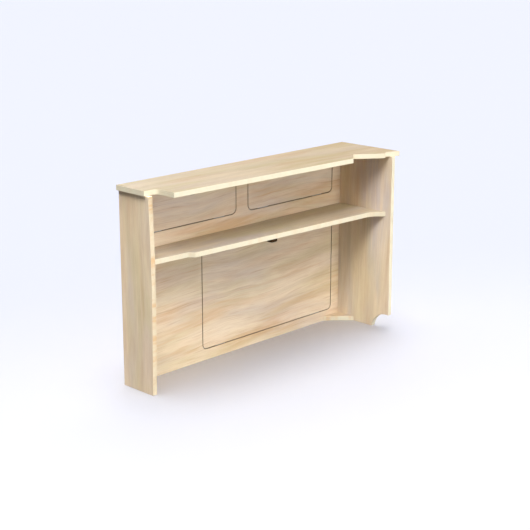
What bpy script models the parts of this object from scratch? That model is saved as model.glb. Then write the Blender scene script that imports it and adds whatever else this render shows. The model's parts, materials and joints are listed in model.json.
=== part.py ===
"""Kitchen pod for a camper van, in birch plywood.

A front panel with three drop-down doors stands between two side panels. A shelf and a worktop,
both scribed along the rear to a vehicle's side wall, tie the panels together. Each door hangs on two
butt hinges in the saw kerf below it and is held shut by a push lock at its top edge.

Metres, +Z up. The doors face -Y. The origin is on the floor, below the centre of the bounding box.
Plan outlines are written as (u, v) in millimetres: u runs from the outer face of the right side panel
towards the left end, v runs from the front panel's face towards the rear.
"""

import math

import bmesh
import bpy
from mathutils import Euler, Matrix, Vector

MM = 0.001

# ------------------------------------------------------------------ driving dimensions (mm)
PLY = 18.0                    # thickness of every board
GAP = 0.3                     # clearance between touching pieces
CARCASS_LENGTH = 1120.0       # over the outer faces of the side panels
WORKTOP_RIGHT = -5.0          # the worktop stands proud of the right side panel
WORKTOP_LEFT = 1139.0         # and runs past the left side panel
WORKTOP_FRONT = -7.0          # the worktop's nose in front of the front panel
WORKTOP_REAR = 281.0
HEIGHT = 706.0
PANEL_TOP = HEIGHT - PLY - GAP
SHELF_UNDER = 453.0
EDGE_BREAK = 0.6              # bevel on sawn edges

KERF = 3.4                    # width of the saw kerf around each door
LOWER_DOOR = (355.3, 1055.6, 42.4, 428.0, 19.0)         # kerf centre line: u0, u1, z0, z1, corner radius
UPPER_RIGHT_DOOR = (66.0, 528.0, 522.8, 674.0, 22.0)
UPPER_LEFT_DOOR = (588.9, 1053.8, 522.8, 674.0, 22.0)

GUSSET_LEG = 87.0

HINGE_AXIS_V = -2.9           # in front of the doors' faces
HINGE_LENGTH = 50.0
KNUCKLE_RADIUS = 2.5
KNUCKLE_BORE = 1.6
KNUCKLE_HALF = 12.55          # half the middle knuckle with half its clearance
PIN_RADIUS = 1.3
LEAF = 1.1                    # leaf thickness
LEAF_REAR_V = 14.5
HINGE_OFFSET_LOWER = 260.0    # hinges' distance from the door's centre
HINGE_OFFSET_UPPER = 150.0

LOCK_DROP = 23.3              # lock axis below the door's top edge
LOCK_HOLE = 11.0
BARREL_OUTER = 10.6
BARREL_BORE = 9.3
BUTTON_RADIUS = 9.0
BUTTON_PROUD = 14.5           # popped out, so the door is free to open
BUTTON_TRAVEL = 10.0
CASE_HALF = 16.5
CASE_LOW, CASE_HIGH = -17.0, 15.0
CASE_REAR = 40.8
CASE_WALL = 2.5
BOLT_FRONT, BOLT_REAR = 20.7, 24.5
BOLT_TIP = 22.5
SPRING_SIDE = 10.8
SPRING_RADIUS = 1.9
SPRING_WIRE = 0.4

DOWEL_RADIUS = 4.0
DOWEL_HOLE = 4.3
DOWEL_LENGTH = 30.0
DOWEL_IN_FACE = 12.0

MID_U = 568.5                 # the origin's place along the pod, near its middle
MID_V = (WORKTOP_REAR - BUTTON_PROUD) / 2

# ------------------------------------------------------------------ colours (linear)
PLY_FACE = (0.62, 0.45, 0.28, 1)
PLY_WARM = (0.58, 0.40, 0.24, 1)
PLY_PALE = (0.66, 0.50, 0.32, 1)
BEECH = (0.55, 0.34, 0.18, 1)
STEEL = (0.55, 0.55, 0.56, 1)
NICKEL = (0.50, 0.49, 0.47, 1)
BLACK = (0.012, 0.012, 0.013, 1)
SPRING_STEEL = (0.42, 0.42, 0.43, 1)

# ------------------------------------------------------------------ scene and collections
for old in list(bpy.data.objects):
    bpy.data.objects.remove(old, do_unlink=True)

parts = bpy.data.collections.new("kitchen_pod")
cutters = bpy.data.collections.new("cutters")
bpy.context.scene.collection.children.link(parts)
bpy.context.scene.collection.children.link(cutters)


def at(u, v, z):
    """World position of a plan point."""
    return Vector(((MID_U - u) * MM, (v - MID_V) * MM, z * MM))


def finish(obj, colour, roughness, metallic=0.0):
    """Gives an object its own material."""
    made = bpy.data.materials.new(obj.name + "_finish")
    made.use_nodes = True
    shader = made.node_tree.nodes["Principled BSDF"]
    shader.inputs["Base Color"].default_value = colour
    shader.inputs["Roughness"].default_value = roughness
    shader.inputs["Metallic"].default_value = metallic
    made.diffuse_color = colour
    obj.data.materials.clear()
    obj.data.materials.append(made)
    return obj


def hide_cutter(obj):
    obj.hide_render = True
    obj.display_type = "WIRE"
    return obj


def empty(name, location, parent=None):
    """An axis marker that carries the pieces of one moving body."""
    marker = bpy.data.objects.new(name, None)
    marker.empty_display_size = 0.03
    marker.location = location
    parts.objects.link(marker)
    if parent is not None:
        hang(marker, parent)
    return marker


def hang(obj, parent):
    bpy.context.view_layer.update()
    obj.parent = parent
    obj.matrix_parent_inverse = parent.matrix_world.inverted()


# ------------------------------------------------------------------ outlines
def rounded(corners, segments=8):
    """Closed outline through (x, y, radius) corners, each turned into an arc of its radius."""
    outline = []
    count = len(corners)
    for i, corner in enumerate(corners):
        here = Vector(corner[:2])
        radius = corner[2] if len(corner) > 2 else 0
        if radius <= 0:
            outline.append((here.x, here.y))
            continue
        before = (Vector(corners[i - 1][:2]) - here).normalized()
        after = (Vector(corners[(i + 1) % count][:2]) - here).normalized()
        half = before.angle(after) / 2
        centre = here + (before + after).normalized() * (radius / math.sin(half))
        first = here + before * (radius / math.tan(half)) - centre
        last = here + after * (radius / math.tan(half)) - centre
        turn = first.angle_signed(last)
        steps = max(1, round(segments * abs(turn) / (math.pi / 2)))
        start = math.atan2(first.y, first.x)
        for k in range(steps + 1):
            a = start - turn * k / steps
            outline.append((centre.x + radius * math.cos(a), centre.y + radius * math.sin(a)))
    return outline


def rectangle(x0, x1, y0, y1, radius, segments=8):
    return rounded([(x0, y0, radius), (x1, y0, radius), (x1, y1, radius), (x0, y1, radius)], segments)


def circle(x, y, radius, segments, phase=0.0):
    return [
        (
            x + radius * math.cos(phase + 2 * math.pi * k / segments),
            y + radius * math.sin(phase + 2 * math.pi * k / segments),
        )
        for k in range(segments)
    ]


def slab(name, outlines, thickness, location, rotation, bevel=0.0, bevel_segments=1, collection=parts):
    """A flat outline (mm, about its location) extruded by its thickness; further outlines are holes."""
    curve = bpy.data.curves.new(name, "CURVE")
    curve.dimensions = "2D"
    curve.fill_mode = "BOTH"
    curve.extrude = thickness * MM / 2
    for outline in outlines:
        spline = curve.splines.new("POLY")
        spline.points.add(len(outline) - 1)
        for point, (x, y) in zip(spline.points, outline):
            point.co = (x * MM, y * MM, 0, 1)
        spline.use_cyclic_u = True
    drawn = bpy.data.objects.new(name + "_outline", curve)
    drawn.location = location
    drawn.rotation_euler = Euler(rotation)
    collection.objects.link(drawn)
    bpy.context.view_layer.update()
    mesh = bpy.data.meshes.new_from_object(drawn.evaluated_get(bpy.context.evaluated_depsgraph_get()))
    mesh.name = name
    work = bmesh.new()
    work.from_mesh(mesh)
    bmesh.ops.remove_doubles(work, verts=work.verts, dist=1e-6)
    bmesh.ops.dissolve_limit(
        work, angle_limit=math.radians(0.05), verts=work.verts, edges=work.edges, delimit={"NORMAL"}
    )
    bmesh.ops.recalc_face_normals(work, faces=work.faces)
    work.to_mesh(mesh)
    work.free()
    obj = bpy.data.objects.new(name, mesh)
    collection.objects.link(obj)
    obj.matrix_world = drawn.matrix_world
    bpy.data.objects.remove(drawn, do_unlink=True)
    mesh.shade_smooth()
    mesh.set_sharp_from_angle(angle=math.radians(32))
    if bevel > 0:
        edge = obj.modifiers.new("edge_break", "BEVEL")
        edge.width = bevel * MM
        edge.segments = bevel_segments
        edge.limit_method = "ANGLE"
        edge.angle_limit = math.radians(40)
    return obj


UPRIGHT = (math.pi / 2, 0, 0)               # local x, y -> world X, Z; local z -> world -Y
SIDEWAYS = (math.pi / 2, 0, math.pi / 2)    # local x, y -> world Y, Z; local z -> world X


def cut(obj, cutter, operation="DIFFERENCE"):
    change = obj.modifiers.new(cutter.name, "BOOLEAN")
    change.operation = operation
    change.solver = "EXACT"
    change.object = cutter
    return obj


def drill(obj, name, holes):
    """Round holes (centre, direction, length, radius, sides) cut by one cutter object; metres."""
    work = bmesh.new()
    for centre, direction, length, radius, sides in holes:
        turn = direction.to_track_quat("Z", "Y").to_matrix().to_4x4()
        bmesh.ops.create_cone(
            work,
            cap_ends=True,
            segments=sides,
            radius1=radius,
            radius2=radius,
            depth=length,
            matrix=Matrix.Translation(centre) @ turn,
        )
    mesh = bpy.data.meshes.new(name)
    work.to_mesh(mesh)
    work.free()
    cutter = hide_cutter(bpy.data.objects.new(name, mesh))
    cutters.objects.link(cutter)
    return cut(obj, cutter)


def block(name, low, high, collection=cutters):
    """A box between two world corners, in metres."""
    work = bmesh.new()
    bmesh.ops.create_cube(work, size=1)
    mesh = bpy.data.meshes.new(name)
    bmesh.ops.scale(work, vec=high - low, verts=work.verts)
    work.to_mesh(mesh)
    work.free()
    obj = bpy.data.objects.new(name, mesh)
    obj.location = (low + high) / 2
    collection.objects.link(obj)
    return hide_cutter(obj) if collection is cutters else obj


def turned(name, profile, location, rotation, steps, closed):
    """A profile of (radius, height) in mm, outer side from top to bottom, turned about local Z."""
    work = bmesh.new()
    points = [work.verts.new((r * MM, 0, h * MM)) for r, h in profile]
    for a, b in zip(points, points[1:]):
        work.edges.new((a, b))
    if closed:
        work.edges.new((points[-1], points[0]))
    mesh = bpy.data.meshes.new(name)
    work.to_mesh(mesh)
    work.free()
    obj = bpy.data.objects.new(name, mesh)
    obj.location = location
    obj.rotation_euler = Euler(rotation)
    parts.objects.link(obj)
    screw = obj.modifiers.new("turn", "SCREW")
    screw.axis = "Z"
    screw.angle = 2 * math.pi
    screw.steps = screw.render_steps = steps
    screw.use_merge_vertices = True
    screw.merge_threshold = 0.00001
    screw.use_smooth_shade = True
    return obj


# ------------------------------------------------------------------ dowels
# name, point in the joint's gap, direction from the face piece into the edge piece, the two pieces
half_gap = GAP / 2
DOWELS = [
    ("dowel_right_side_lower", at(PLY + half_gap, 9, 170), Vector((-1, 0, 0)), "side_panel_right", "front_panel"),
    ("dowel_right_side_upper", at(PLY + half_gap, 9, 590), Vector((-1, 0, 0)), "side_panel_right", "front_panel"),
    ("dowel_left_side_lower", at(CARCASS_LENGTH - PLY - half_gap, 9, 170), Vector((1, 0, 0)), "side_panel_left", "front_panel"),
    ("dowel_left_side_upper", at(CARCASS_LENGTH - PLY - half_gap, 9, 590), Vector((1, 0, 0)), "side_panel_left", "front_panel"),
    ("dowel_shelf_front_right", at(200, PLY + half_gap, SHELF_UNDER + 9), Vector((0, 1, 0)), "front_panel", "shelf"),
    ("dowel_shelf_front_left", at(950, PLY + half_gap, SHELF_UNDER + 9), Vector((0, 1, 0)), "front_panel", "shelf"),
    ("dowel_shelf_side_right", at(PLY + half_gap, 85, SHELF_UNDER + 9), Vector((-1, 0, 0)), "side_panel_right", "shelf"),
    ("dowel_shelf_side_left", at(CARCASS_LENGTH - PLY - half_gap, 140, SHELF_UNDER + 9), Vector((1, 0, 0)), "side_panel_left", "shelf"),
    ("dowel_worktop_front_right", at(42, 9, PANEL_TOP + half_gap), Vector((0, 0, -1)), "worktop", "front_panel"),
    ("dowel_worktop_front_left", at(1078, 9, PANEL_TOP + half_gap), Vector((0, 0, -1)), "worktop", "front_panel"),
    ("dowel_worktop_side_right", at(9, 85, PANEL_TOP + half_gap), Vector((0, 0, -1)), "worktop", "side_panel_right"),
    ("dowel_worktop_side_left", at(CARCASS_LENGTH - 9, 170, PANEL_TOP + half_gap), Vector((0, 0, -1)), "worktop", "side_panel_left"),
]
dowel_holes = {}
for name, point, direction, face_piece, edge_piece in DOWELS:
    start, end = -(DOWEL_IN_FACE + half_gap), DOWEL_LENGTH - DOWEL_IN_FACE + half_gap * 3
    hole = (point + direction * ((start + end) / 2 * MM), direction, (end - start) * MM, DOWEL_HOLE * MM, 12)
    for piece in (face_piece, edge_piece):
        dowel_holes.setdefault(piece, []).append(hole)

    work = bmesh.new()
    bmesh.ops.create_cone(
        work,
        cap_ends=True,
        segments=12,
        radius1=DOWEL_RADIUS * MM,
        radius2=DOWEL_RADIUS * MM,
        depth=DOWEL_LENGTH * MM,
    )
    mesh = bpy.data.meshes.new(name)
    work.to_mesh(mesh)
    work.free()
    mesh.shade_smooth()
    mesh.set_sharp_from_angle(angle=math.radians(40))
    dowel = bpy.data.objects.new(name, mesh)
    parts.objects.link(dowel)
    dowel.rotation_mode = "QUATERNION"
    dowel.rotation_quaternion = direction.to_track_quat("Z", "Y")
    dowel.location = hole[0]
    chamfer = dowel.modifiers.new("chamfer", "BEVEL")
    chamfer.width = 0.9 * MM
    chamfer.segments = 1
    chamfer.limit_method = "ANGLE"
    chamfer.angle_limit = math.radians(50)
    finish(dowel, BEECH, 0.7)

# ------------------------------------------------------------------ side panels (outlines in v, z)
right_rear = [
    (151.0, 0), (153.6, 110), (155.5, 230), (156.6, 340), (157.0, 448, 420), (150.0, PANEL_TOP),
]
outline = rounded([(0, 0)] + right_rear + [(0, PANEL_TOP)], segments=90)
side_right = slab(
    "side_panel_right", [outline], PLY, at(PLY / 2, 0, 0), SIDEWAYS, EDGE_BREAK
)
drill(side_right, "side_panel_right_dowel_holes", dowel_holes["side_panel_right"])
finish(side_right, PLY_WARM, 0.55)

NOTCH_RADIUS, NOTCH_V, NOTCH_Z = 70.0, 265.0, -10.0
notch_from = math.pi - math.asin(-NOTCH_Z / NOTCH_RADIUS)
notch_rear = 277.3
notch_to = math.acos((notch_rear - NOTCH_V) / NOTCH_RADIUS)
notch = []
for k in range(15):
    a = notch_from + (notch_to - notch_from) * k / 14
    notch.append((NOTCH_V + NOTCH_RADIUS * math.cos(a), NOTCH_Z + NOTCH_RADIUS * math.sin(a)))
outline = [(0, 0)] + notch + [(274.7, PANEL_TOP), (0, PANEL_TOP)]
side_left = slab(
    "side_panel_left", [outline], PLY, at(CARCASS_LENGTH - PLY / 2, 0, 0), SIDEWAYS, EDGE_BREAK
)
drill(side_left, "side_panel_left_dowel_holes", dowel_holes["side_panel_left"])
finish(side_left, PLY_WARM, 0.55)


# ------------------------------------------------------------------ front panel with three apertures (x, z)
def door_outline(spec, grow):
    """The kerf's centre line grown (aperture) or shrunk (door), in x and z about the panel's middle."""
    u0, u1, z0, z1, radius = spec
    return rectangle(MID_U - u1 - grow, MID_U - u0 + grow, z0 - grow, z1 + grow, radius + grow)


DOORS = {
    "lower_door": LOWER_DOOR,
    "upper_right_door": UPPER_RIGHT_DOOR,
    "upper_left_door": UPPER_LEFT_DOOR,
}
panel_outline = [
    (MID_U - CARCASS_LENGTH + PLY + GAP, 0),
    (MID_U - PLY - GAP, 0),
    (MID_U - PLY - GAP, PANEL_TOP),
    (MID_U - CARCASS_LENGTH + PLY + GAP, PANEL_TOP),
]
front = slab(
    "front_panel",
    [panel_outline] + [door_outline(spec, KERF / 2) for spec in DOORS.values()],
    PLY,
    at(MID_U, PLY / 2, 0),
    UPRIGHT,
    EDGE_BREAK,
)
drill(front, "front_panel_dowel_holes", dowel_holes["front_panel"])
finish(front, PLY_PALE, 0.55)


# ------------------------------------------------------------------ horizontal boards (x, y)
def plan_outline(corners, segments=6):
    """Corners in (u, v, radius) turned into an outline in x and y about the worktop's middle."""
    return rounded([(MID_U - c[0], c[1], c[2] if len(c) > 2 else 0) for c in corners], segments)


worktop_corners = [
    (WORKTOP_RIGHT, WORKTOP_FRONT, 1.5),
    (WORKTOP_LEFT, WORKTOP_FRONT, 1.5),
    (WORKTOP_LEFT, WORKTOP_REAR),
    (1086.0, 258.5, 3),
    (1060.5, 273.0, 1.5),
    (964.5, 199.5, 4),
    (903.5, 252.0, 1.5),
    (48.5, 222.1),
    (48.5, 135.5, 18),
    (WORKTOP_RIGHT, 135.5),
]
worktop = slab(
    "worktop", [plan_outline(worktop_corners)], PLY, at(MID_U, 0, HEIGHT - PLY / 2), (0, 0, 0), EDGE_BREAK
)
drill(worktop, "worktop_dowel_holes", dowel_holes["worktop"])
finish(worktop, PLY_FACE, 0.5)

shelf_right, shelf_left = PLY + GAP, CARCASS_LENGTH - PLY - GAP
shelf_corners = [
    (shelf_right, PLY + GAP),
    (shelf_left, PLY + GAP),
    (shelf_left, 250.4),
    (1060.7, 211.1, 60),
    (186.0, 171.9, 12),
    (170.0, 152.1, 12),
    (shelf_right, 141.1),
]
shelf = slab(
    "shelf",
    [plan_outline(shelf_corners)],
    PLY,
    at(MID_U, 0, SHELF_UNDER + PLY / 2),
    (0, 0, 0),
    EDGE_BREAK,
)
drill(shelf, "shelf_dowel_holes", dowel_holes["shelf"])
finish(shelf, PLY_FACE, 0.5)

gusset_left = slab(
    "corner_gusset_left",
    [
        plan_outline(
            [(shelf_left, PLY + GAP), (shelf_left - GUSSET_LEG, PLY + GAP), (shelf_left, PLY + GAP + GUSSET_LEG - 2)]
        )
    ],
    PLY,
    at(MID_U, 0, PLY / 2),
    (0, 0, 0),
    EDGE_BREAK,
)
finish(gusset_left, PLY_FACE, 0.55)
gusset_right = slab(
    "corner_gusset_right",
    [
        plan_outline(
            [(shelf_right, PLY + GAP), (shelf_right + GUSSET_LEG, PLY + GAP), (shelf_right, PLY + GAP + GUSSET_LEG - 2)]
        )
    ],
    PLY,
    at(MID_U, 0, PLY / 2),
    (0, 0, 0),
    EDGE_BREAK,
)
finish(gusset_right, PLY_FACE, 0.55)


# ------------------------------------------------------------------ hinges
def leaf_outline(side):
    """Section of one leaf with its knuckle, about the hinge's axis: y to the rear, z up (side -1 or +1)."""
    reach = LEAF_REAR_V - HINGE_AXIS_V
    near, far = 0.3, 0.3 + LEAF
    start = -math.asin(near / KNUCKLE_RADIUS)
    stop = -2 * math.pi + math.asin(-far / KNUCKLE_RADIUS) + 2 * math.pi
    arc = []
    sweep = (2 * math.pi + stop) - start
    for k in range(12):
        a = start + sweep * k / 11
        arc.append((KNUCKLE_RADIUS * math.cos(a), KNUCKLE_RADIUS * math.sin(a)))
    points = [(reach, -near)] + arc + [(reach, -far)]
    bore = circle(0, 0, KNUCKLE_BORE, 10)
    flip = 1 if side < 0 else -1
    return [[(y, z * flip) for y, z in points], bore]


def knuckle_gap(name, ranges, centre):
    """Clearance cylinders along the hinge's axis where the other leaf's knuckles turn."""
    return [
        (centre + Vector(((a + b) / 2 * MM, 0, 0)), Vector((1, 0, 0)), (b - a) * MM, 2.9 * MM, 16)
        for a, b in ranges
    ]


def leaf_holes(centre, side):
    return [
        (
            centre + Vector((x * MM, 10.6 * MM, side * (0.3 + LEAF / 2) * MM)),
            Vector((0, 0, 1)),
            3 * MM,
            1.5 * MM,
            10,
        )
        for x in (-17.0, 0.0, 17.0)
    ]


def hinge(prefix, u, z, carrier):
    """One butt hinge under a door; the fixed leaf is below, the door's leaf above the kerf's middle."""
    centre = at(u, HINGE_AXIS_V, z)
    half = HINGE_LENGTH / 2
    fixed = slab(prefix + "_fixed_leaf", leaf_outline(-1), HINGE_LENGTH, centre, SIDEWAYS)
    middle = [(-KNUCKLE_HALF - 0.15, KNUCKLE_HALF + 0.15)]
    drill(
        fixed,
        prefix + "_fixed_leaf_cutter",
        knuckle_gap(prefix, middle, centre) + leaf_holes(centre, -1),
    )
    finish(fixed, STEEL, 0.35, 1.0)
    moving = slab(prefix + "_door_leaf", leaf_outline(1), HINGE_LENGTH, centre, SIDEWAYS)
    ends = [(-half - 1, -KNUCKLE_HALF + 0.15), (KNUCKLE_HALF - 0.15, half + 1)]
    drill(
        moving,
        prefix + "_door_leaf_cutter",
        knuckle_gap(prefix, ends, centre) + leaf_holes(centre, 1),
    )
    finish(moving, STEEL, 0.35, 1.0)
    hang(moving, carrier)
    over = half + 0.3
    pin = turned(
        prefix + "_pin",
        [
            (0, over + 0.9), (1.4, over + 0.75), (2.0, over + 0.3), (2.0, over), (PIN_RADIUS, over),
            (PIN_RADIUS, -over), (2.0, -over), (2.0, -over - 0.3), (1.4, -over - 0.75), (0, -over - 0.9),
        ],
        centre,
        (0, math.pi / 2, 0),
        12,
        False,
    )
    finish(pin, STEEL, 0.3, 1.0)


# ------------------------------------------------------------------ push locks
def lock(prefix, door, u, door_top, rail_edge, carrier):
    """One push lock near a door's top edge, with its strike plate on the rail above."""
    axis_z = door_top - LOCK_DROP
    on_axis = at(u, 0, axis_z)

    drill(door, prefix + "_lock_hole", [(at(u, PLY / 2, axis_z), Vector((0, 1, 0)), 30 * MM, LOCK_HOLE * MM, 20)])

    rosette = turned(
        prefix + "_lock_rosette",
        [
            (BARREL_BORE, 2.8), (12.0, 3.1), (14.4, 2.4), (15.6, 1.1), (15.6, GAP), (BARREL_OUTER, GAP),
            (BARREL_OUTER, -PLY), (BARREL_BORE, -PLY),
        ],
        on_axis,
        UPRIGHT,
        20,
        True,
    )
    finish(rosette, NICKEL, 0.3, 1.0)
    hang(rosette, carrier)

    case = slab(
        prefix + "_lock_case",
        [rectangle(-CASE_HALF, CASE_HALF, CASE_LOW, CASE_HIGH, 6, 5)],
        CASE_REAR - PLY - GAP,
        at(u, (CASE_REAR + PLY + GAP) / 2, axis_z),
        UPRIGHT,
    )
    soften = case.modifiers.new("soft_rear", "BEVEL")
    soften.width = 1.6 * MM
    soften.segments = 2
    soften.limit_method = "WEIGHT"
    weights = case.data.attributes.new("bevel_weight_edge", "FLOAT", "EDGE")
    for edge in case.data.edges:
        ends = [case.data.vertices[i].co.z for i in edge.vertices]
        if max(ends) < 0 and len(ends) == 2:
            weights.data[edge.index].value = 1.0
    inside = CASE_HALF - CASE_WALL
    cavity = block(
        prefix + "_case_cavity",
        at(u, PLY - 2, axis_z + CASE_LOW + CASE_WALL) + Vector((-inside * MM, 0, 0)),
        at(u, CASE_REAR - 2, axis_z + CASE_HIGH - CASE_WALL) + Vector((inside * MM, 0, 0)),
    )
    cut(case, cavity)
    slot = block(
        prefix + "_case_slot",
        at(u, PLY - 2, axis_z + CASE_HIGH - CASE_WALL - 1) + Vector((-8.4 * MM, 0, 0)),
        at(u, BOLT_REAR + 0.4, axis_z + CASE_HIGH + 2) + Vector((8.4 * MM, 0, 0)),
    )
    cut(case, slot)
    finish(case, BLACK, 0.5)
    hang(case, carrier)

    button_axis = empty(prefix + "_lock_button_axis", on_axis, carrier)
    button = turned(
        prefix + "_lock_button",
        [
            (0, BUTTON_PROUD), (4.2, BUTTON_PROUD - 0.2), (7.0, BUTTON_PROUD - 1.0), (8.5, BUTTON_PROUD - 2.4),
            (BUTTON_RADIUS, BUTTON_PROUD - 4.2), (BUTTON_RADIUS, 8.8), (8.2, 8.0), (8.2, 4.6),
            (BUTTON_RADIUS, 3.8), (BUTTON_RADIUS, -7.0), (0, -7.0),
        ],
        on_axis,
        UPRIGHT,
        20,
        False,
    )
    # The stem behind the button is a 45 degree wedge: it lifts the bolt as the button goes in.
    wedge_foot, wedge_head = -8.4, 3.4
    wedge_rear = BOLT_FRONT + 1.3
    wedge = slab(
        prefix + "_lock_wedge",
        [
            [
                (5.0, wedge_foot),
                (wedge_rear, wedge_foot),
                (wedge_rear, wedge_head - (wedge_rear - BOLT_FRONT + BUTTON_TRAVEL)),
                (BOLT_FRONT - BUTTON_TRAVEL, wedge_head),
                (5.0, wedge_head),
            ]
        ],
        6.0,
        on_axis,
        SIDEWAYS,
        collection=cutters,
    )
    cut(button, hide_cutter(wedge), "UNION")
    finish(button, NICKEL, 0.25, 1.0)
    hang(button, button_axis)

    bolt_axis = empty(prefix + "_lock_bolt_axis", at(u, (BOLT_FRONT + BOLT_REAR) / 2, axis_z), carrier)
    fork_top = wedge_head - BUTTON_TRAVEL + 0.6
    bolt = slab(
        prefix + "_lock_bolt",
        [
            [
                (-13, -12), (-3.6, -12), (-3.6, fork_top), (3.6, fork_top), (3.6, -12), (13, -12), (13, -4),
                (8, -4), (8, BOLT_TIP - 1.5), (6.5, BOLT_TIP), (-6.5, BOLT_TIP), (-8, BOLT_TIP - 1.5),
                (-8, -4), (-13, -4),
            ]
        ],
        BOLT_REAR - BOLT_FRONT,
        at(u, (BOLT_FRONT + BOLT_REAR) / 2, axis_z),
        UPRIGHT,
    )
    finish(bolt, STEEL, 0.35, 1.0)
    hang(bolt, bolt_axis)

    # Return spring between the bolt's shoulder and the top of the case.
    coil_low, coil_high = -4 + GAP + SPRING_WIRE, CASE_HIGH - CASE_WALL - GAP - SPRING_WIRE
    curve = bpy.data.curves.new(prefix + "_lock_spring", "CURVE")
    curve.dimensions = "3D"
    curve.bevel_depth = SPRING_WIRE * MM
    curve.bevel_resolution = 2
    curve.use_fill_caps = True
    spline = curve.splines.new("POLY")
    turns, per_turn = 4, 9
    spline.points.add(turns * per_turn)
    for k, point in enumerate(spline.points):
        a = 2 * math.pi * k / per_turn
        rise = coil_low + (coil_high - coil_low) * k / (turns * per_turn)
        point.co = (SPRING_RADIUS * math.cos(a) * MM, SPRING_RADIUS * math.sin(a) * MM, rise * MM, 1)
    spring = bpy.data.objects.new(prefix + "_lock_spring", curve)
    spring.location = at(u, (BOLT_FRONT + BOLT_REAR) / 2, axis_z) + Vector((SPRING_SIDE * MM, 0, 0))
    parts.objects.link(spring)
    finish(spring, SPRING_STEEL, 0.35, 1.0)
    hang(spring, carrier)

    strike = slab(
        prefix + "_strike_plate",
        [rectangle(-14, 14, 0, 11, 2, 3), circle(-9.5, 5.5, 1.7, 10), circle(9.5, 5.5, 1.7, 10)],
        1.2,
        at(u, PLY + GAP + 0.6, rail_edge + GAP),
        UPRIGHT,
    )
    finish(strike, STEEL, 0.35, 1.0)


# ------------------------------------------------------------------ doors
for door_name, spec in DOORS.items():
    u0, u1, z0, z1, radius = spec
    prefix = door_name
    centre_u = (u0 + u1) / 2
    carrier = empty(door_name + "_hinge_axis", at(centre_u, HINGE_AXIS_V, z0))
    door = slab(
        door_name, [door_outline(spec, -KERF / 2)], PLY, at(MID_U, PLY / 2, 0), UPRIGHT, EDGE_BREAK
    )
    lock(prefix, door, centre_u, z1 - KERF / 2, z1 + KERF / 2, carrier)
    finish(door, PLY_PALE, 0.55)
    hang(door, carrier)
    offset = HINGE_OFFSET_LOWER if door_name == "lower_door" else HINGE_OFFSET_UPPER
    hinge(prefix + "_hinge_right", centre_u - offset, z0, carrier)
    hinge(prefix + "_hinge_left", centre_u + offset, z0, carrier)
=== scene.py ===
"""Looks of the plywood kitchen pod: veneer faces, sawn plywood edges, hardware finishes, floor and light."""

import json
import math

import bmesh
import bpy
from mathutils import Matrix, Vector

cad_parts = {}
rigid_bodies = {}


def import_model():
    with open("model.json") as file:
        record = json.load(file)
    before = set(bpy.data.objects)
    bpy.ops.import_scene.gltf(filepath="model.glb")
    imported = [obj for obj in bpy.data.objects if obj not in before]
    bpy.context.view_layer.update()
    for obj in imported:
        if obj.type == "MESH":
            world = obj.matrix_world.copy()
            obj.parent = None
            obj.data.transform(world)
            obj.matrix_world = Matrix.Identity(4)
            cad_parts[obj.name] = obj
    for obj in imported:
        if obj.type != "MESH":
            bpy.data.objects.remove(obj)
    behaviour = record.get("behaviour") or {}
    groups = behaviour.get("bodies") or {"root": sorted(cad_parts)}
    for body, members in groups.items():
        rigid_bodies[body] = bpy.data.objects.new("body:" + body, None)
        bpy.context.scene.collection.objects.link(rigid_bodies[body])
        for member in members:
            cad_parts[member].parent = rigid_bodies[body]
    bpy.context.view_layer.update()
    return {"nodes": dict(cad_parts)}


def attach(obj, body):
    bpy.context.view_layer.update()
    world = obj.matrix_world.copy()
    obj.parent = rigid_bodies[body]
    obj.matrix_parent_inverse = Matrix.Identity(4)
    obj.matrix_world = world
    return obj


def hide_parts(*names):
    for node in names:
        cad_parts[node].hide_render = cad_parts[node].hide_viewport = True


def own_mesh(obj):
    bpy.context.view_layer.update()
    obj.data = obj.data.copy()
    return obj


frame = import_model()
nodes = frame["nodes"]

MM = 0.001
MID_U, MID_V = 568.5, 133.25      # plan point of the frame's origin, in mm


def at(u, v, z):
    """World position of a plan point: u from the right end to the left, v to the rear, in mm."""
    return Vector(((MID_U - u) * MM, (v - MID_V) * MM, z * MM))


# ------------------------------------------------------------------ camera
forward = Vector((-0.69045, -0.67136, -0.26938)).normalized()
right = Vector((-0.69733, 0.71675, 0.00100))
right = (right - forward * right.dot(forward)).normalized()
up = right.cross(forward)
eye = Vector((MID_U * MM + 2.58599, 3.19223 - MID_V * MM, 1.57215))
lens = bpy.data.cameras.new("camera")
lens.sensor_width = 36.0
lens.lens = 36.0 * 1257.0 / 530.0
lens.clip_start, lens.clip_end = 0.05, 200.0
camera = bpy.data.objects.new("camera", lens)
bpy.context.scene.collection.objects.link(camera)
camera.matrix_world = Matrix(
    (
        (right.x, up.x, -forward.x, eye.x),
        (right.y, up.y, -forward.y, eye.y),
        (right.z, up.z, -forward.z, eye.z),
        (0, 0, 0, 1),
    )
)
bpy.context.scene.camera = camera
bpy.context.scene.view_settings.view_transform = "Standard"


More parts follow.
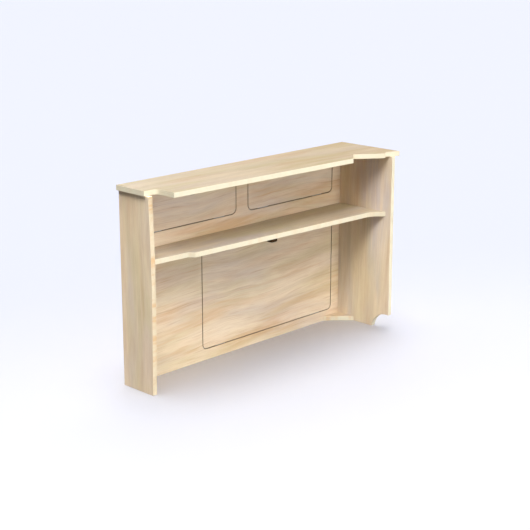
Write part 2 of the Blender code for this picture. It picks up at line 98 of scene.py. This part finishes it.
# ------------------------------------------------------------------ node helpers
class Tree:
    """A small hand for writing a material's nodes."""

    def __init__(self, name):
        self.material = bpy.data.materials.new(name)
        self.material.use_nodes = True
        self.nodes = self.material.node_tree.nodes
        self.links = self.material.node_tree.links
        self.shader = self.nodes["Principled BSDF"]

    def put(self, socket, value):
        if isinstance(value, bpy.types.NodeSocket):
            self.links.new(value, socket)
        elif isinstance(value, (tuple, list)) and len(value) == 3 and socket.type == "RGBA":
            socket.default_value = (*value, 1.0)
        else:
            socket.default_value = value

    def new(self, kind, **fields):
        node = self.nodes.new(kind)
        for key, value in fields.items():
            setattr(node, key, value)
        return node

    def math(self, operation, a, b=None, c=None, clamp=False):
        node = self.new("ShaderNodeMath", operation=operation, use_clamp=clamp)
        for socket, value in zip(node.inputs, (a, b, c)):
            if value is not None:
                self.put(socket, value)
        return node.outputs[0]

    def combine(self, x, y, z):
        node = self.new("ShaderNodeCombineXYZ")
        for socket, value in zip(node.inputs, (x, y, z)):
            self.put(socket, value)
        return node.outputs[0]

    def noise(self, vector, scale=1.0, detail=2.0, roughness=0.5, distortion=0.0, colour=False):
        node = self.new("ShaderNodeTexNoise")
        node.noise_dimensions = "3D"
        self.put(node.inputs["Vector"], vector)
        node.inputs["Scale"].default_value = scale
        node.inputs["Detail"].default_value = detail
        node.inputs["Roughness"].default_value = roughness
        node.inputs["Distortion"].default_value = distortion
        return node.outputs["Color" if colour else "Fac"]

    def ramp(self, value, stops, smooth=True):
        node = self.new("ShaderNodeValToRGB")
        node.color_ramp.interpolation = "EASE" if smooth else "LINEAR"
        elements = node.color_ramp.elements
        while len(elements) > 1:
            elements.remove(elements[-1])
        elements[0].position = stops[0][0]
        elements[0].color = _rgba(stops[0][1])
        for position, colour in stops[1:]:
            elements.new(position).color = _rgba(colour)
        self.put(node.inputs["Fac"], value)
        return node.outputs["Color"]

    def remap(self, value, low, high, to_low=0.0, to_high=1.0, smooth=True):
        node = self.new("ShaderNodeMapRange")
        node.interpolation_type = "SMOOTHSTEP" if smooth else "LINEAR"
        node.clamp = True
        self.put(node.inputs["Value"], value)
        for name, number in (("From Min", low), ("From Max", high), ("To Min", to_low), ("To Max", to_high)):
            node.inputs[name].default_value = number
        return node.outputs["Result"]

    def mix(self, factor, a, b, blend="MIX"):
        node = self.new("ShaderNodeMix", data_type="RGBA", blend_type=blend)
        node.clamp_factor = True
        self.put(node.inputs["Factor"], factor)
        self.put([s for s in node.inputs if s.name == "A" and s.type == "RGBA"][0], a)
        self.put([s for s in node.inputs if s.name == "B" and s.type == "RGBA"][0], b)
        return [s for s in node.outputs if s.type == "RGBA"][0]

    def bump(self, height, strength, distance, normal=None):
        node = self.new("ShaderNodeBump")
        node.inputs["Strength"].default_value = strength
        node.inputs["Distance"].default_value = distance
        self.put(node.inputs["Height"], height)
        if normal is not None:
            self.put(node.inputs["Normal"], normal)
        return node.outputs["Normal"]


def _rgba(colour):
    if isinstance(colour, (int, float)):
        return (colour, colour, colour, 1.0)
    return (*colour, 1.0)


def srgb(r, g, b):
    """An sRGB colour of 0 to 255 as linear values."""
    out = []
    for c in (r, g, b):
        c /= 255.0
        out.append(c / 12.92 if c <= 0.04045 else ((c + 0.055) / 1.055) ** 2.4)
    return tuple(out)


# ------------------------------------------------------------------ plywood
CREAM = srgb(247, 226, 195)
PALE = srgb(237, 215, 184)
TAN = srgb(227, 197, 160)
ORANGE = srgb(222, 171, 118)
LILAC = srgb(216, 203, 195)
OLIVE = srgb(223, 206, 158)
BROWN = srgb(184, 138, 92)
EDGE_CREAM = srgb(255, 246, 218)
EDGE_TAN = srgb(249, 216, 170)
EDGE_GREY = srgb(228, 206, 172)


def triple(value):
    return tuple(value) if isinstance(value, (tuple, list)) else (value, value, value)


def plywood(name, thickness_axis, mid, grain_axis, seed, slant=0.0, swirl=1.0, warm=0.5, lilac=0.5, tone=1.0,
            edge_tan=0.3, edge_tone=1.0, kerf=0.0, olive=0.4, line_work=1.0, cloud=1.0):
    """Veneered board. The face veneers run along grain_axis; between them the sawn edge shows the plies.

    thickness_axis and grain_axis are "x", "y" or "z"; mid is the board's middle along its thickness.
    slant tips the figure (across per along), swirl sets how far it wanders, warm and lilac how much
    orange-brown and greyish pink it holds and olive how much yellowish green, tone scales the faces and
    edge_tone the edges; both are set per board, partly as painted light and shade. kerf browns the sawn
    edges as painted shade for the narrow door gaps, line_work sets how strong the fine lines are and cloud how strong
    the broad patches.
    """
    t = Tree(name)
    place = t.new("ShaderNodeTexCoord").outputs["Object"]
    axes = t.new("ShaderNodeSeparateXYZ")
    t.put(axes.inputs[0], place)
    coordinate = {"x": axes.outputs[0], "y": axes.outputs[1], "z": axes.outputs[2]}
    along = coordinate[grain_axis]
    across = coordinate[[a for a in "xyz" if a not in (grain_axis, thickness_axis)][0]]
    depth = t.math("SUBTRACT", coordinate[thickness_axis], mid)
    leaf = t.math("MULTIPLY_ADD", t.math("SIGN", depth), 3.7, seed)       # each face has its own veneer

    def figure(stretch_along, stretch_across, offset, line, detail=2.0, roughness=0.5):
        """Noise drawn out along the grain: features are 1/stretch metres long and wide."""
        return t.noise(
            t.combine(
                t.math("MULTIPLY", along, stretch_along),
                t.math("MULTIPLY", line, stretch_across),
                t.math("ADD", leaf, offset),
            ),
            1.0, detail, roughness,
        )

    # the figure wanders: slow waves push the lines sideways
    slow = figure(1.9, 3.4, 0.0, across, 1.0)
    quick = figure(6.0, 9.0, 5.0, across, 1.0)
    shift = t.math(
        "MULTIPLY_ADD",
        t.math("SUBTRACT", slow, 0.5),
        0.070 * swirl,
        t.math("MULTIPLY", t.math("SUBTRACT", quick, 0.5), 0.016 * swirl),
    )
    line = t.math("ADD", across, t.math("MULTIPLY_ADD", along, slant, shift))

    bands = figure(1.4, 21.0, 11.0, line, 3.0, 0.55)
    streaks = figure(2.8, 80.0, 17.0, line, 3.0, 0.55)
    wisps = figure(5.0, 170.0, 23.0, line, 3.0, 0.6)
    fibres = figure(16.0, 560.0, 29.0, line, 3.0, 0.6)
    pores = figure(75.0, 2300.0, 37.0, line, 2.0, 0.6)
    blush = figure(2.4, 14.0, 41.0, line, 3.0, 0.5)
    mist = figure(2.2, 10.0, 53.0, line, 3.0, 0.5)
    moss = figure(2.5, 12.0, 67.0, line, 3.0, 0.5)
    shade = figure(3.0, 17.0, 79.0, line, 3.0, 0.5)

    face = t.ramp(bands, [(0.28, TAN), (0.44, PALE), (0.58, CREAM), (0.74, PALE)])
    face = t.mix(t.remap(mist, 0.40, 0.64, 0.0, 0.85 * lilac), face, LILAC)
    face = t.mix(t.remap(moss, 0.40, 0.64, 0.0, olive), face, OLIVE)
    face = t.mix(t.remap(blush, 0.48, 0.68, 0.0, 0.52 * warm), face, ORANGE)
    face = t.mix(t.remap(shade, 0.50, 0.68, 0.0, 0.22 * cloud), face, BROWN)
    face = t.mix(t.remap(shade, 0.30, 0.48, 0.55 * cloud, 0.0), face, CREAM)
    face = t.mix(t.remap(streaks, 0.53, 0.74, 0.0, 0.34 * warm * line_work), face, ORANGE)
    face = t.mix(t.remap(streaks, 0.30, 0.46, 0.40 * line_work, 0.0), face, CREAM)
    face = t.mix(t.remap(wisps, 0.56, 0.72, 0.0, 0.40 * warm * line_work), face, BROWN)
    face = t.mix(t.remap(fibres, 0.40, 0.75, 0.0, 0.24), face, BROWN)
    face = t.mix(t.remap(pores, 0.60, 0.80, 0.0, 0.12), face, srgb(150, 112, 74))
    # tone: the board's face colour, set per board partly as painted light and shade
    face = t.mix(1.0, face, triple(tone), "MULTIPLY")

    # sawn edge: thirteen plies, every second one end grain, with thin glue lines
    ply = t.math("MULTIPLY_ADD", depth, 13.0 / 0.018, 6.5)
    within = t.math("FRACT", ply)
    end_grain = t.math("GREATER_THAN", t.math("FRACT", t.math("MULTIPLY", t.math("FLOOR", ply), 0.5)), 0.25)
    glue = t.math("GREATER_THAN", t.math("ABSOLUTE", t.math("SUBTRACT", within, 0.5)), 0.44)

    def sawdust(flat, through, detail=2.0):
        return t.noise(
            t.combine(
                t.math("MULTIPLY", along, flat), t.math("MULTIPLY", across, flat), t.math("MULTIPLY", depth, through)
            ),
            1.0, detail, 0.6,
        )

    drift = sawdust(26.0, 8.0, 3.0)
    grit = sawdust(900.0, 2600.0)
    smear = sawdust(110.0, 420.0, 3.0)
    sawn = t.mix(t.remap(drift, 0.42, 0.70, 0.0, edge_tan), EDGE_CREAM, EDGE_TAN)
    sawn = t.mix(t.math("MULTIPLY", end_grain, 0.20), sawn, EDGE_GREY)
    sawn = t.mix(t.math("MULTIPLY", glue, 0.14), sawn, srgb(176, 140, 96))
    sawn = t.mix(t.remap(smear, 0.56, 0.78, 0.0, 0.25 + 0.5 * edge_tan), sawn, EDGE_TAN)
    sawn = t.mix(t.remap(grit, 0.58, 0.82, 0.0, 0.12), sawn, srgb(186, 150, 106))
    # painted shade: on the front panel and doors the sawn edges show only inside the narrow door gaps, and this browns
    # them so the gaps read dark
    if kerf:
        sawn = t.mix(t.remap(smear, 0.3, 0.7, 0.85 * kerf, kerf), sawn, srgb(140, 98, 62))
    sawn = t.mix(1.0, sawn, triple(edge_tone), "MULTIPLY")

    on_edge = t.remap(t.math("ABSOLUTE", depth), 0.00845, 0.00885, 1.0, 0.0)
    t.put(t.shader.inputs["Base Color"], t.mix(on_edge, face, sawn))
    rough = t.math("MULTIPLY_ADD", fibres, 0.14, 0.48)
    t.put(t.shader.inputs["Roughness"], t.math("MULTIPLY_ADD", on_edge, 0.16, rough))
    t.shader.inputs["Specular IOR Level"].default_value = 0.3
    relief = t.math("ADD", t.math("MULTIPLY", fibres, 0.6), t.math("MULTIPLY", pores, 0.4))
    edge_relief = t.math("ADD", t.math("MULTIPLY", grit, 0.5), t.math("MULTIPLY", glue, -0.5))
    height = t.new("ShaderNodeMix", data_type="FLOAT")
    t.put(height.inputs[0], on_edge)
    t.put(height.inputs[2], relief)
    t.put(height.inputs[3], edge_relief)
    t.put(t.shader.inputs["Normal"], t.bump(height.outputs[0], 0.22, 0.00022))
    return t.material


def dress(node, material):
    """Gives a CAD node's slots a material."""
    obj = nodes[node]
    for index in range(max(1, len(obj.material_slots))):
        if index < len(obj.material_slots):
            obj.material_slots[index].material = material
        else:
            obj.data.materials.append(material)


HALF = 0.009
# The tone and edge_tone values differ from board to board although all are one plywood: partly the boards' own colour,
# partly painted light and shade, so the worktop and shelf tops come out darker and the left panel's inner face and the
# upper doors lighter and bluer, as the light falls on them.
front_figure = dict(thickness_axis="y", mid=at(0, 9, 0).y, grain_axis="x", seed=23.1, slant=0.02, swirl=0.9,
                    warm=0.9, lilac=0.5, olive=0.55, line_work=0.95, kerf=0.75, tone=(0.885, 0.89, 0.91), edge_tone=0.78)
boards = {
    "worktop": plywood("ply_worktop", "z", 0.706 - HALF, "x", 4.3, slant=0.01, swirl=0.3, warm=0.5, lilac=0.3,
                       edge_tan=0.18, olive=0.6, line_work=0.8, cloud=0.5, tone=(0.66, 0.655, 0.635), edge_tone=0.785),
    "shelf": plywood("ply_shelf", "z", 0.453 + HALF, "x", 11.8, slant=-0.01, swirl=0.3, warm=0.1, lilac=0.8,
                     edge_tan=0.28, olive=0.7, line_work=0.9, cloud=0.15, tone=(0.70, 0.72, 0.735), edge_tone=0.875),
    "front_panel": plywood("ply_front_panel", **front_figure),
    "lower_door": plywood("ply_lower_door", **front_figure),
    "upper_left_door": plywood("ply_upper_left_door", **dict(front_figure, lilac=0.65, tone=(0.885, 0.905, 0.95))),
    "upper_right_door": plywood("ply_upper_right_door", **dict(front_figure, lilac=0.65, tone=(0.885, 0.905, 0.95))),
    "side_panel_right": plywood("ply_side_panel_right", "x", at(9, 0, 0).x, "z", 31.4, slant=0.02, swirl=0.4, warm=0.35,
                                lilac=0.5, edge_tan=1.25, olive=0.6, cloud=0.8, tone=0.895, edge_tone=(0.73, 0.68, 0.64)),
    "side_panel_left": plywood("ply_side_panel_left", "x", at(1111, 0, 0).x, "z", 47.9, slant=-0.02, swirl=0.4, warm=0.2,
                               lilac=1.0, edge_tan=0.1, olive=0.5, cloud=0.8, tone=(0.985, 1.01, 1.05), edge_tone=0.79),
    "corner_gusset_left": plywood("ply_corner_gusset_left", "z", HALF, "x", 53.2, slant=0.1, swirl=0.4, warm=0.3, lilac=0.7, edge_tan=0.9,
                                  tone=0.78, edge_tone=0.82),
    "corner_gusset_right": plywood("ply_corner_gusset_right", "z", HALF, "x", 61.7, slant=-0.1, swirl=0.4, warm=0.6,
                                   tone=0.82, edge_tone=0.8),
}
for node, material in boards.items():
    dress(node, material)


# ------------------------------------------------------------------ other finishes
def beech():
    t = Tree("beech_dowel")
    place = t.new("ShaderNodeTexCoord").outputs["Object"]
    speck = t.noise(place, 900.0, 3.0, 0.6)
    tone = t.noise(place, 160.0, 3.0, 0.5)
    colour = t.ramp(tone, [(0.3, srgb(206, 168, 122)), (0.7, srgb(226, 194, 150))])
    colour = t.mix(t.remap(speck, 0.55, 0.75, 0.0, 0.35), colour, srgb(150, 104, 66))
    t.put(t.shader.inputs["Base Color"], colour)
    t.put(t.shader.inputs["Roughness"], t.math("MULTIPLY_ADD", speck, 0.2, 0.5))
    t.put(t.shader.inputs["Normal"], t.bump(speck, 0.3, 0.0002))
    return t.material


def metal(name, colour, rough, streak, dark=0.75):
    """Plated metal with fine drawn lines, faint blotches and slightly duller patches."""
    t = Tree(name)
    place = t.new("ShaderNodeTexCoord").outputs["Object"]
    axes = t.new("ShaderNodeSeparateXYZ")
    t.put(axes.inputs[0], place)
    lines = t.noise(
        t.combine(
            t.math("MULTIPLY", axes.outputs[0], streak[0]),
            t.math("MULTIPLY", axes.outputs[1], streak[1]),
            t.math("MULTIPLY", axes.outputs[2], streak[2]),
        ),
        1.0, 3.0, 0.6,
    )
    blotch = t.noise(place, 120.0, 3.0, 0.55)
    base = t.mix(t.remap(blotch, 0.35, 0.7), colour, tuple(c * dark for c in colour))
    t.put(t.shader.inputs["Base Color"], base)
    t.shader.inputs["Metallic"].default_value = 1.0
    t.put(
        t.shader.inputs["Roughness"],
        t.math("ADD", t.math("MULTIPLY", lines, 0.18), t.math("MULTIPLY_ADD", blotch, 0.12, rough - 0.15)),
    )
    t.put(t.shader.inputs["Normal"], t.bump(lines, 0.12, 0.0001))
    return t.material


def plastic():
    t = Tree("lock_plastic")
    place = t.new("ShaderNodeTexCoord").outputs["Object"]
    grain = t.noise(place, 1800.0, 3.0, 0.6)
    tone = t.noise(place, 90.0, 2.0, 0.5)
    colour = t.ramp(tone, [(0.3, (0.058, 0.031, 0.012)), (0.7, (0.086, 0.047, 0.018))])
    t.put(t.shader.inputs["Base Color"], colour)
    t.put(t.shader.inputs["Roughness"], t.math("MULTIPLY_ADD", grain, 0.2, 0.55))
    t.shader.inputs["Specular IOR Level"].default_value = 0.15
    t.put(t.shader.inputs["Normal"], t.bump(grain, 0.25, 0.0001))
    return t.material


dowel_wood = beech()
zinc = metal("zinc_plated_steel", srgb(206, 208, 210), 0.38, (300.0, 2400.0, 2400.0))
nickel = metal("satin_nickel", srgb(210, 204, 194), 0.30, (1500.0, 1500.0, 400.0), 0.88)
spring_wire = metal("spring_wire", srgb(188, 190, 194), 0.28, (2000.0, 2000.0, 2000.0))
black_plastic = plastic()

for node in nodes:
    if node.startswith("dowel_"):
        dress(node, dowel_wood)
    elif "_hinge_" in node or node.endswith(("_lock_bolt", "_strike_plate")):
        dress(node, zinc)
    elif node.endswith(("_lock_rosette", "_lock_button")):
        dress(node, nickel)
    elif node.endswith("_lock_spring"):
        dress(node, spring_wire)
    elif node.endswith("_lock_case"):
        dress(node, black_plastic)

# ------------------------------------------------------------------ screws
def turned_mesh(work, place, profile, steps):
    """Rings of a profile of (radius, height) about local +Z, in mm; returns the last ring."""
    previous = None
    for radius, height in profile:
        ring = [
            work.verts.new(place @ Vector((radius * MM * math.cos(a), radius * MM * math.sin(a), height * MM)))
            for a in (2 * math.pi * i / steps for i in range(steps))
        ]
        if previous:
            for i in range(steps):
                j = (i + 1) % steps
                work.faces.new((previous[i], previous[j], ring[j], ring[i]))
        previous = ring
    return previous


def screw(work, place, radius, crown, turn):
    """A low crowned head with a cross recess, its seat at local z = 0."""
    steps = 24
    rim = turned_mesh(
        work, place,
        [(radius, -0.05), (radius, crown * 0.30), (radius * 0.93, crown * 0.62), (radius * 0.78, crown * 0.9)], steps,
    )
    arm, half = radius * 0.56, radius * 0.15
    corners = []
    for quarter in range(4):
        a = turn + quarter * math.pi / 2
        for x, y in ((arm, -half), (arm, half), (half, half)):
            corners.append((x * math.cos(a) - y * math.sin(a), x * math.sin(a) + y * math.cos(a)))
    top = [work.verts.new(place @ Vector((x * MM, y * MM, crown * MM))) for x, y in corners]
    low = [work.verts.new(place @ Vector((x * 0.72 * MM, y * 0.72 * MM, (crown - radius * 0.42) * MM))) for x, y in corners]
    count = len(corners)
    for i in range(count):
        j = (i + 1) % count
        work.faces.new((top[i], top[j], low[j], low[i]))
    work.faces.new(low)
    edges = [work.edges.get((top[i], top[(i + 1) % count])) for i in range(count)]
    edges += [work.edges.get((rim[i], rim[(i + 1) % steps])) for i in range(steps)]
    bmesh.ops.triangle_fill(work, use_beauty=True, use_dissolve=False, edges=edges)


def piece(name, build, material, body, smooth=40.0):
    """Makes one mesh object from a bmesh recipe and lets it ride on a body."""
    work = bmesh.new()
    build(work)
    bmesh.ops.recalc_face_normals(work, faces=work.faces)
    shape = bpy.data.meshes.new(name)
    work.to_mesh(shape)
    work.free()
    shape.materials.append(material)
    obj = bpy.data.objects.new(name, shape)
    bpy.context.scene.collection.objects.link(obj)
    shape.shade_smooth()
    shape.set_sharp_from_angle(angle=math.radians(smooth))
    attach(obj, body)
    return obj


def facing(origin, direction):
    """A placement with local +Z along direction."""
    return Matrix.Translation(origin) @ Vector(direction).to_track_quat("Z", "Y").to_matrix().to_4x4()


def tube(work, points, radius, steps=8):
    """A round wire through points (in metres), with flat ends."""
    previous = first = None
    for i, point in enumerate(points):
        ahead = points[min(i + 1, len(points) - 1)] - points[max(i - 1, 0)]
        turn = ahead.to_track_quat("Z", "Y").to_matrix().to_4x4()
        place = Matrix.Translation(point) @ turn
        ring = [
            work.verts.new(place @ Vector((radius * MM * math.cos(a), radius * MM * math.sin(a), 0)))
            for a in (2 * math.pi * k / steps for k in range(steps))
        ]
        if previous:
            # the new ring starts where it lies nearest to the last one
            offset = min(range(steps), key=lambda k: (ring[k].co - previous[0].co).length)
            ring = ring[offset:] + ring[:offset]
            for k in range(steps):
                j = (k + 1) % steps
                work.faces.new((previous[k], previous[j], ring[j], ring[k]))
        else:
            first = ring
        previous = ring
    work.faces.new(first[::-1])
    work.faces.new(previous)


DOORS = {          # middle of the door along the pod, kerf's lower edge, lock axis, hinges' distance from the middle
    "lower_door": (705.45, 42.4, 403.0, 260.0),
    "upper_left_door": (821.35, 522.8, 649.0, 150.0),
    "upper_right_door": (297.0, 522.8, 649.0, 150.0),
}
ROSETTE = [(9.3, 2.8), (12.0, 3.1), (14.4, 2.4), (15.6, 1.1), (15.6, 0.3), (10.6, 0.3), (10.6, -18.0), (9.3, -18.0)]
BUTTON = [(4.2, 14.3), (7.0, 13.5), (8.5, 12.1), (9.0, 10.3), (9.0, 8.8), (8.2, 8.0), (8.2, 4.6), (9.0, 3.8), (9.0, -7.0)]
WEDGE = [(6.9, -8.4), (22.0, -8.4), (22.0, -7.9), (10.7, 3.4), (6.9, 3.4)]


def rosette(place):
    def build(work):
        turned_mesh(work, place, ROSETTE + ROSETTE[:1], 64)
        bmesh.ops.remove_doubles(work, verts=work.verts, dist=1e-7)

    return build


def button(place, middle, axis):
    def build(work):
        last = turned_mesh(work, place, BUTTON, 64)
        work.verts.ensure_lookup_table()
        front = work.verts[:64]
        crown = work.verts.new(place @ Vector((0, 0, 14.5 * MM)))
        for i in range(64):
            work.faces.new((front[(i + 1) % 64], front[i], crown))
        work.faces.new(last)
        sides = [[work.verts.new(at(middle + dx, v, axis + z)) for v, z in WEDGE] for dx in (-3.0, 3.0)]
        for i in range(len(WEDGE)):
            j = (i + 1) % len(WEDGE)
            work.faces.new((sides[0][i], sides[0][j], sides[1][j], sides[1][i]))
        work.faces.new(sides[0])
        work.faces.new(sides[1][::-1])

    return build


def coil(middle, axis):
    def build(work):
        low, high, turns, steps = -3.3, 11.8, 4.0, 24
        count = int(turns * steps)
        points = []
        for i in range(count + 1):
            a = 2 * math.pi * i / steps
            height = axis + low + (high - low) * i / count
            points.append(at(middle - 10.8 + 1.9 * math.cos(a), 22.6 + 1.9 * math.sin(a), height))
        tube(work, points, 0.4)

    return build


for door, (middle, kerf_z, axis, offset) in DOORS.items():
    for side, shift in (("right", -offset), ("left", offset)):
        for body, z, direction in (("carcass", kerf_z - 0.3, 1.0), (door, kerf_z + 0.3, -1.0)):
            def build(work):
                for i, x in enumerate((-17.0, 0.0, 17.0)):
                    screw(work, facing(at(middle + shift - x, 7.7, z), (0, 0, direction)), 2.3, 0.18, 0.35 + 0.9 * i + shift)

            leaf = "fixed" if body == "carcass" else "door"
            piece(f"{door}_hinge_{side}_{leaf}_screws", build, zinc, body)

    def case_screws(work):
        for i, x in enumerate((-12.0, 12.0)):
            screw(work, facing(at(middle - x, 40.8, axis + 10.5), (0, 1, 0)), 2.2, 0.9, 0.5 + 1.1 * i)

    def strike_screws(work):
        for i, x in enumerate((-9.5, 9.5)):
            screw(work, facing(at(middle - x, 19.5, axis + 27.0 + 5.5), (0, 1, 0)), 2.4, 0.6, 0.2 + 0.8 * i)

    piece(f"{door}_lock_case_screws", case_screws, zinc, door)
    piece(f"{door}_strike_plate_screws", strike_screws, zinc, "carcass")

    place = facing(at(middle, 0, axis), (0, -1, 0))
    ring = piece(f"{door}_rosette_turned", rosette(place), nickel, door, 50.0)
    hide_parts(f"{door}_lock_rosette")
    knob = piece(f"{door}_button_turned", button(place, middle, axis), nickel, f"{door}_button", 50.0)
    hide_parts(f"{door}_lock_button")
    spring = piece(f"{door}_spring_coil", coil(middle, axis), spring_wire, door, 60.0)
    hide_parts(f"{door}_lock_spring")
    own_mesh(spring)


# ------------------------------------------------------------------ floor
ground = Tree("studio_floor")
place = ground.new("ShaderNodeTexCoord").outputs["Object"]
parts = ground.new("ShaderNodeSeparateXYZ")
ground.put(parts.inputs[0], place)
# painted light: the floor's colour runs from greyish lavender to near white, lighter towards the rear and the pod's
# right end, standing in for the studio light's falloff across the floor
painted_falloff = ground.math("ADD", ground.math("MULTIPLY", parts.outputs[0], 0.45), ground.math("MULTIPLY", parts.outputs[1], 0.89))
tint = ground.mix(ground.remap(painted_falloff, -1.3, 1.3), (0.800, 0.818, 0.94), (0.945, 0.945, 0.985))
speckle = ground.noise(place, 40.0, 3.0, 0.5)
tint = ground.mix(ground.remap(speckle, 0.3, 0.7, 0.0, 0.015), tint, (0.85, 0.85, 0.88))
ground.put(ground.shader.inputs["Base Color"], tint)
ground.shader.inputs["Roughness"].default_value = 0.85
ground.shader.inputs["Specular IOR Level"].default_value = 0.15
work = bmesh.new()
bmesh.ops.create_grid(work, x_segments=8, y_segments=8, size=40.0)
mesh = bpy.data.meshes.new("floor")
work.to_mesh(mesh)
work.free()
floor = bpy.data.objects.new("floor", mesh)
floor.location = (0, 0, -0.0004)
mesh.materials.append(ground.material)
bpy.context.scene.collection.objects.link(floor)
floor.visible_diffuse = False       # the pod's own lamps stand in for the floor's bounce

# a far, evenly lit studio wall closes the view above the floor; it sheds no light on the pod
haze = Tree("studio_wall")
place = haze.new("ShaderNodeTexCoord").outputs["Object"]
drift = haze.noise(place, 0.05, 3.0, 0.5)
glow = haze.mix(haze.remap(drift, 0.3, 0.7), (0.865, 0.88, 1.0), (0.885, 0.90, 1.0))
haze.put(haze.shader.inputs["Base Color"], (0.0, 0.0, 0.0))
haze.put(haze.shader.inputs["Emission Color"], glow)
haze.shader.inputs["Emission Strength"].default_value = 1.0
haze.shader.inputs["Specular IOR Level"].default_value = 0.0
haze.material.cycles.emission_sampling = "NONE"
work = bmesh.new()
ring = [[work.verts.new((39.0 * math.cos(a), 39.0 * math.sin(a), z)) for a in (2 * math.pi * i / 96 for i in range(96))] for z in (-0.01, 16.0)]
for i in range(96):
    j = (i + 1) % 96
    work.faces.new((ring[0][i], ring[0][j], ring[1][j], ring[1][i]))
mesh = bpy.data.meshes.new("wall")
work.to_mesh(mesh)
work.free()
wall = bpy.data.objects.new("wall", mesh)
mesh.materials.append(haze.material)
bpy.context.scene.collection.objects.link(wall)
wall.visible_diffuse = wall.visible_glossy = wall.visible_shadow = False

# ------------------------------------------------------------------ light
world = bpy.data.worlds.new("studio")
world.use_nodes = True
sky = world.node_tree.nodes["Background"]
sky.inputs["Color"].default_value = (1.0, 1.0, 1.0, 1.0)
sky.inputs["Strength"].default_value = 0.2
bpy.context.scene.world = world

def gather(name, test):
    group = bpy.data.collections.new(name)
    for obj in bpy.context.scene.objects:
        if obj.type == "MESH" and test(obj):
            group.objects.link(obj)
    return group


floor_only = gather("floor_only", lambda obj: obj == floor)
pod_only = gather("pod_only", lambda obj: obj not in (floor, wall))
right_panel = gather("right_panel", lambda obj: obj == nodes["side_panel_right"])
left_panel = gather("left_panel", lambda obj: obj == nodes["side_panel_left"])
front_boards = gather("front_boards", lambda obj: obj in [nodes["front_panel"]] + [nodes[door] for door in DOORS])
worktop_board = gather("worktop_board", lambda obj: obj == nodes["worktop"])
but_right = gather("but_right", lambda obj: obj not in (floor, wall, nodes["side_panel_right"]))


def soft_lamp(name, azimuth, elevation, spread, energy, lit, blocked_by=None, colour=(1.0, 1.0, 1.0)):
    """A large soft lamp far away; azimuth runs from the rear (+Y) to the right end (+X), in degrees."""
    turn, lift = math.radians(azimuth), math.radians(elevation)
    towards = Vector((math.sin(turn) * math.cos(lift), math.cos(turn) * math.cos(lift), math.sin(lift)))
    lamp = bpy.data.lights.new(name, "SUN")
    lamp.energy = energy
    lamp.angle = math.radians(spread)
    lamp.color = colour
    holder = bpy.data.objects.new(name, lamp)
    holder.rotation_euler = towards.to_track_quat("Z", "Y").to_euler()
    bpy.context.scene.collection.objects.link(holder)
    holder.light_linking.receiver_collection = lit
    if blocked_by:
        holder.light_linking.blocker_collection = blocked_by


soft_lamp("floor_dome", 0, 90, 180, 1.05, floor_only, colour=(0.95, 0.965, 1.0))
soft_lamp("floor_overhead", 0, 90, 38, 1.68, floor_only, colour=(0.99, 0.995, 1.02))
soft_lamp("floor_front_left", 240, 42, 50, 0.33, floor_only)
GAIN = 1.08
for azimuth, elevation, spread, energy, lit in (
    (-35, 45, 30, 0.216, pod_only),
    (0, 5, 25, 1.145, pod_only),
    (20, 45, 25, 0.847, pod_only),
    (45, 58, 25, 1.766, but_right),
    (45, 42, 25, 0.378, front_boards),
    (70, 45, 25, 1.211, left_panel),
    (85, 79, 25, 8.3, right_panel),
    (0, 45, 25, 0.9, right_panel),
    (56, 20, 25, 0.95, worktop_board),
    (200, 10, 40, 2.1, pod_only),
    (285, 12, 40, 1.6, pod_only),
):
    soft_lamp(f"pod_{azimuth}_{elevation}", azimuth, elevation, spread, energy * GAIN, lit, pod_only)

# ------------------------------------------------------------------ update
bpy.context.view_layer.update()
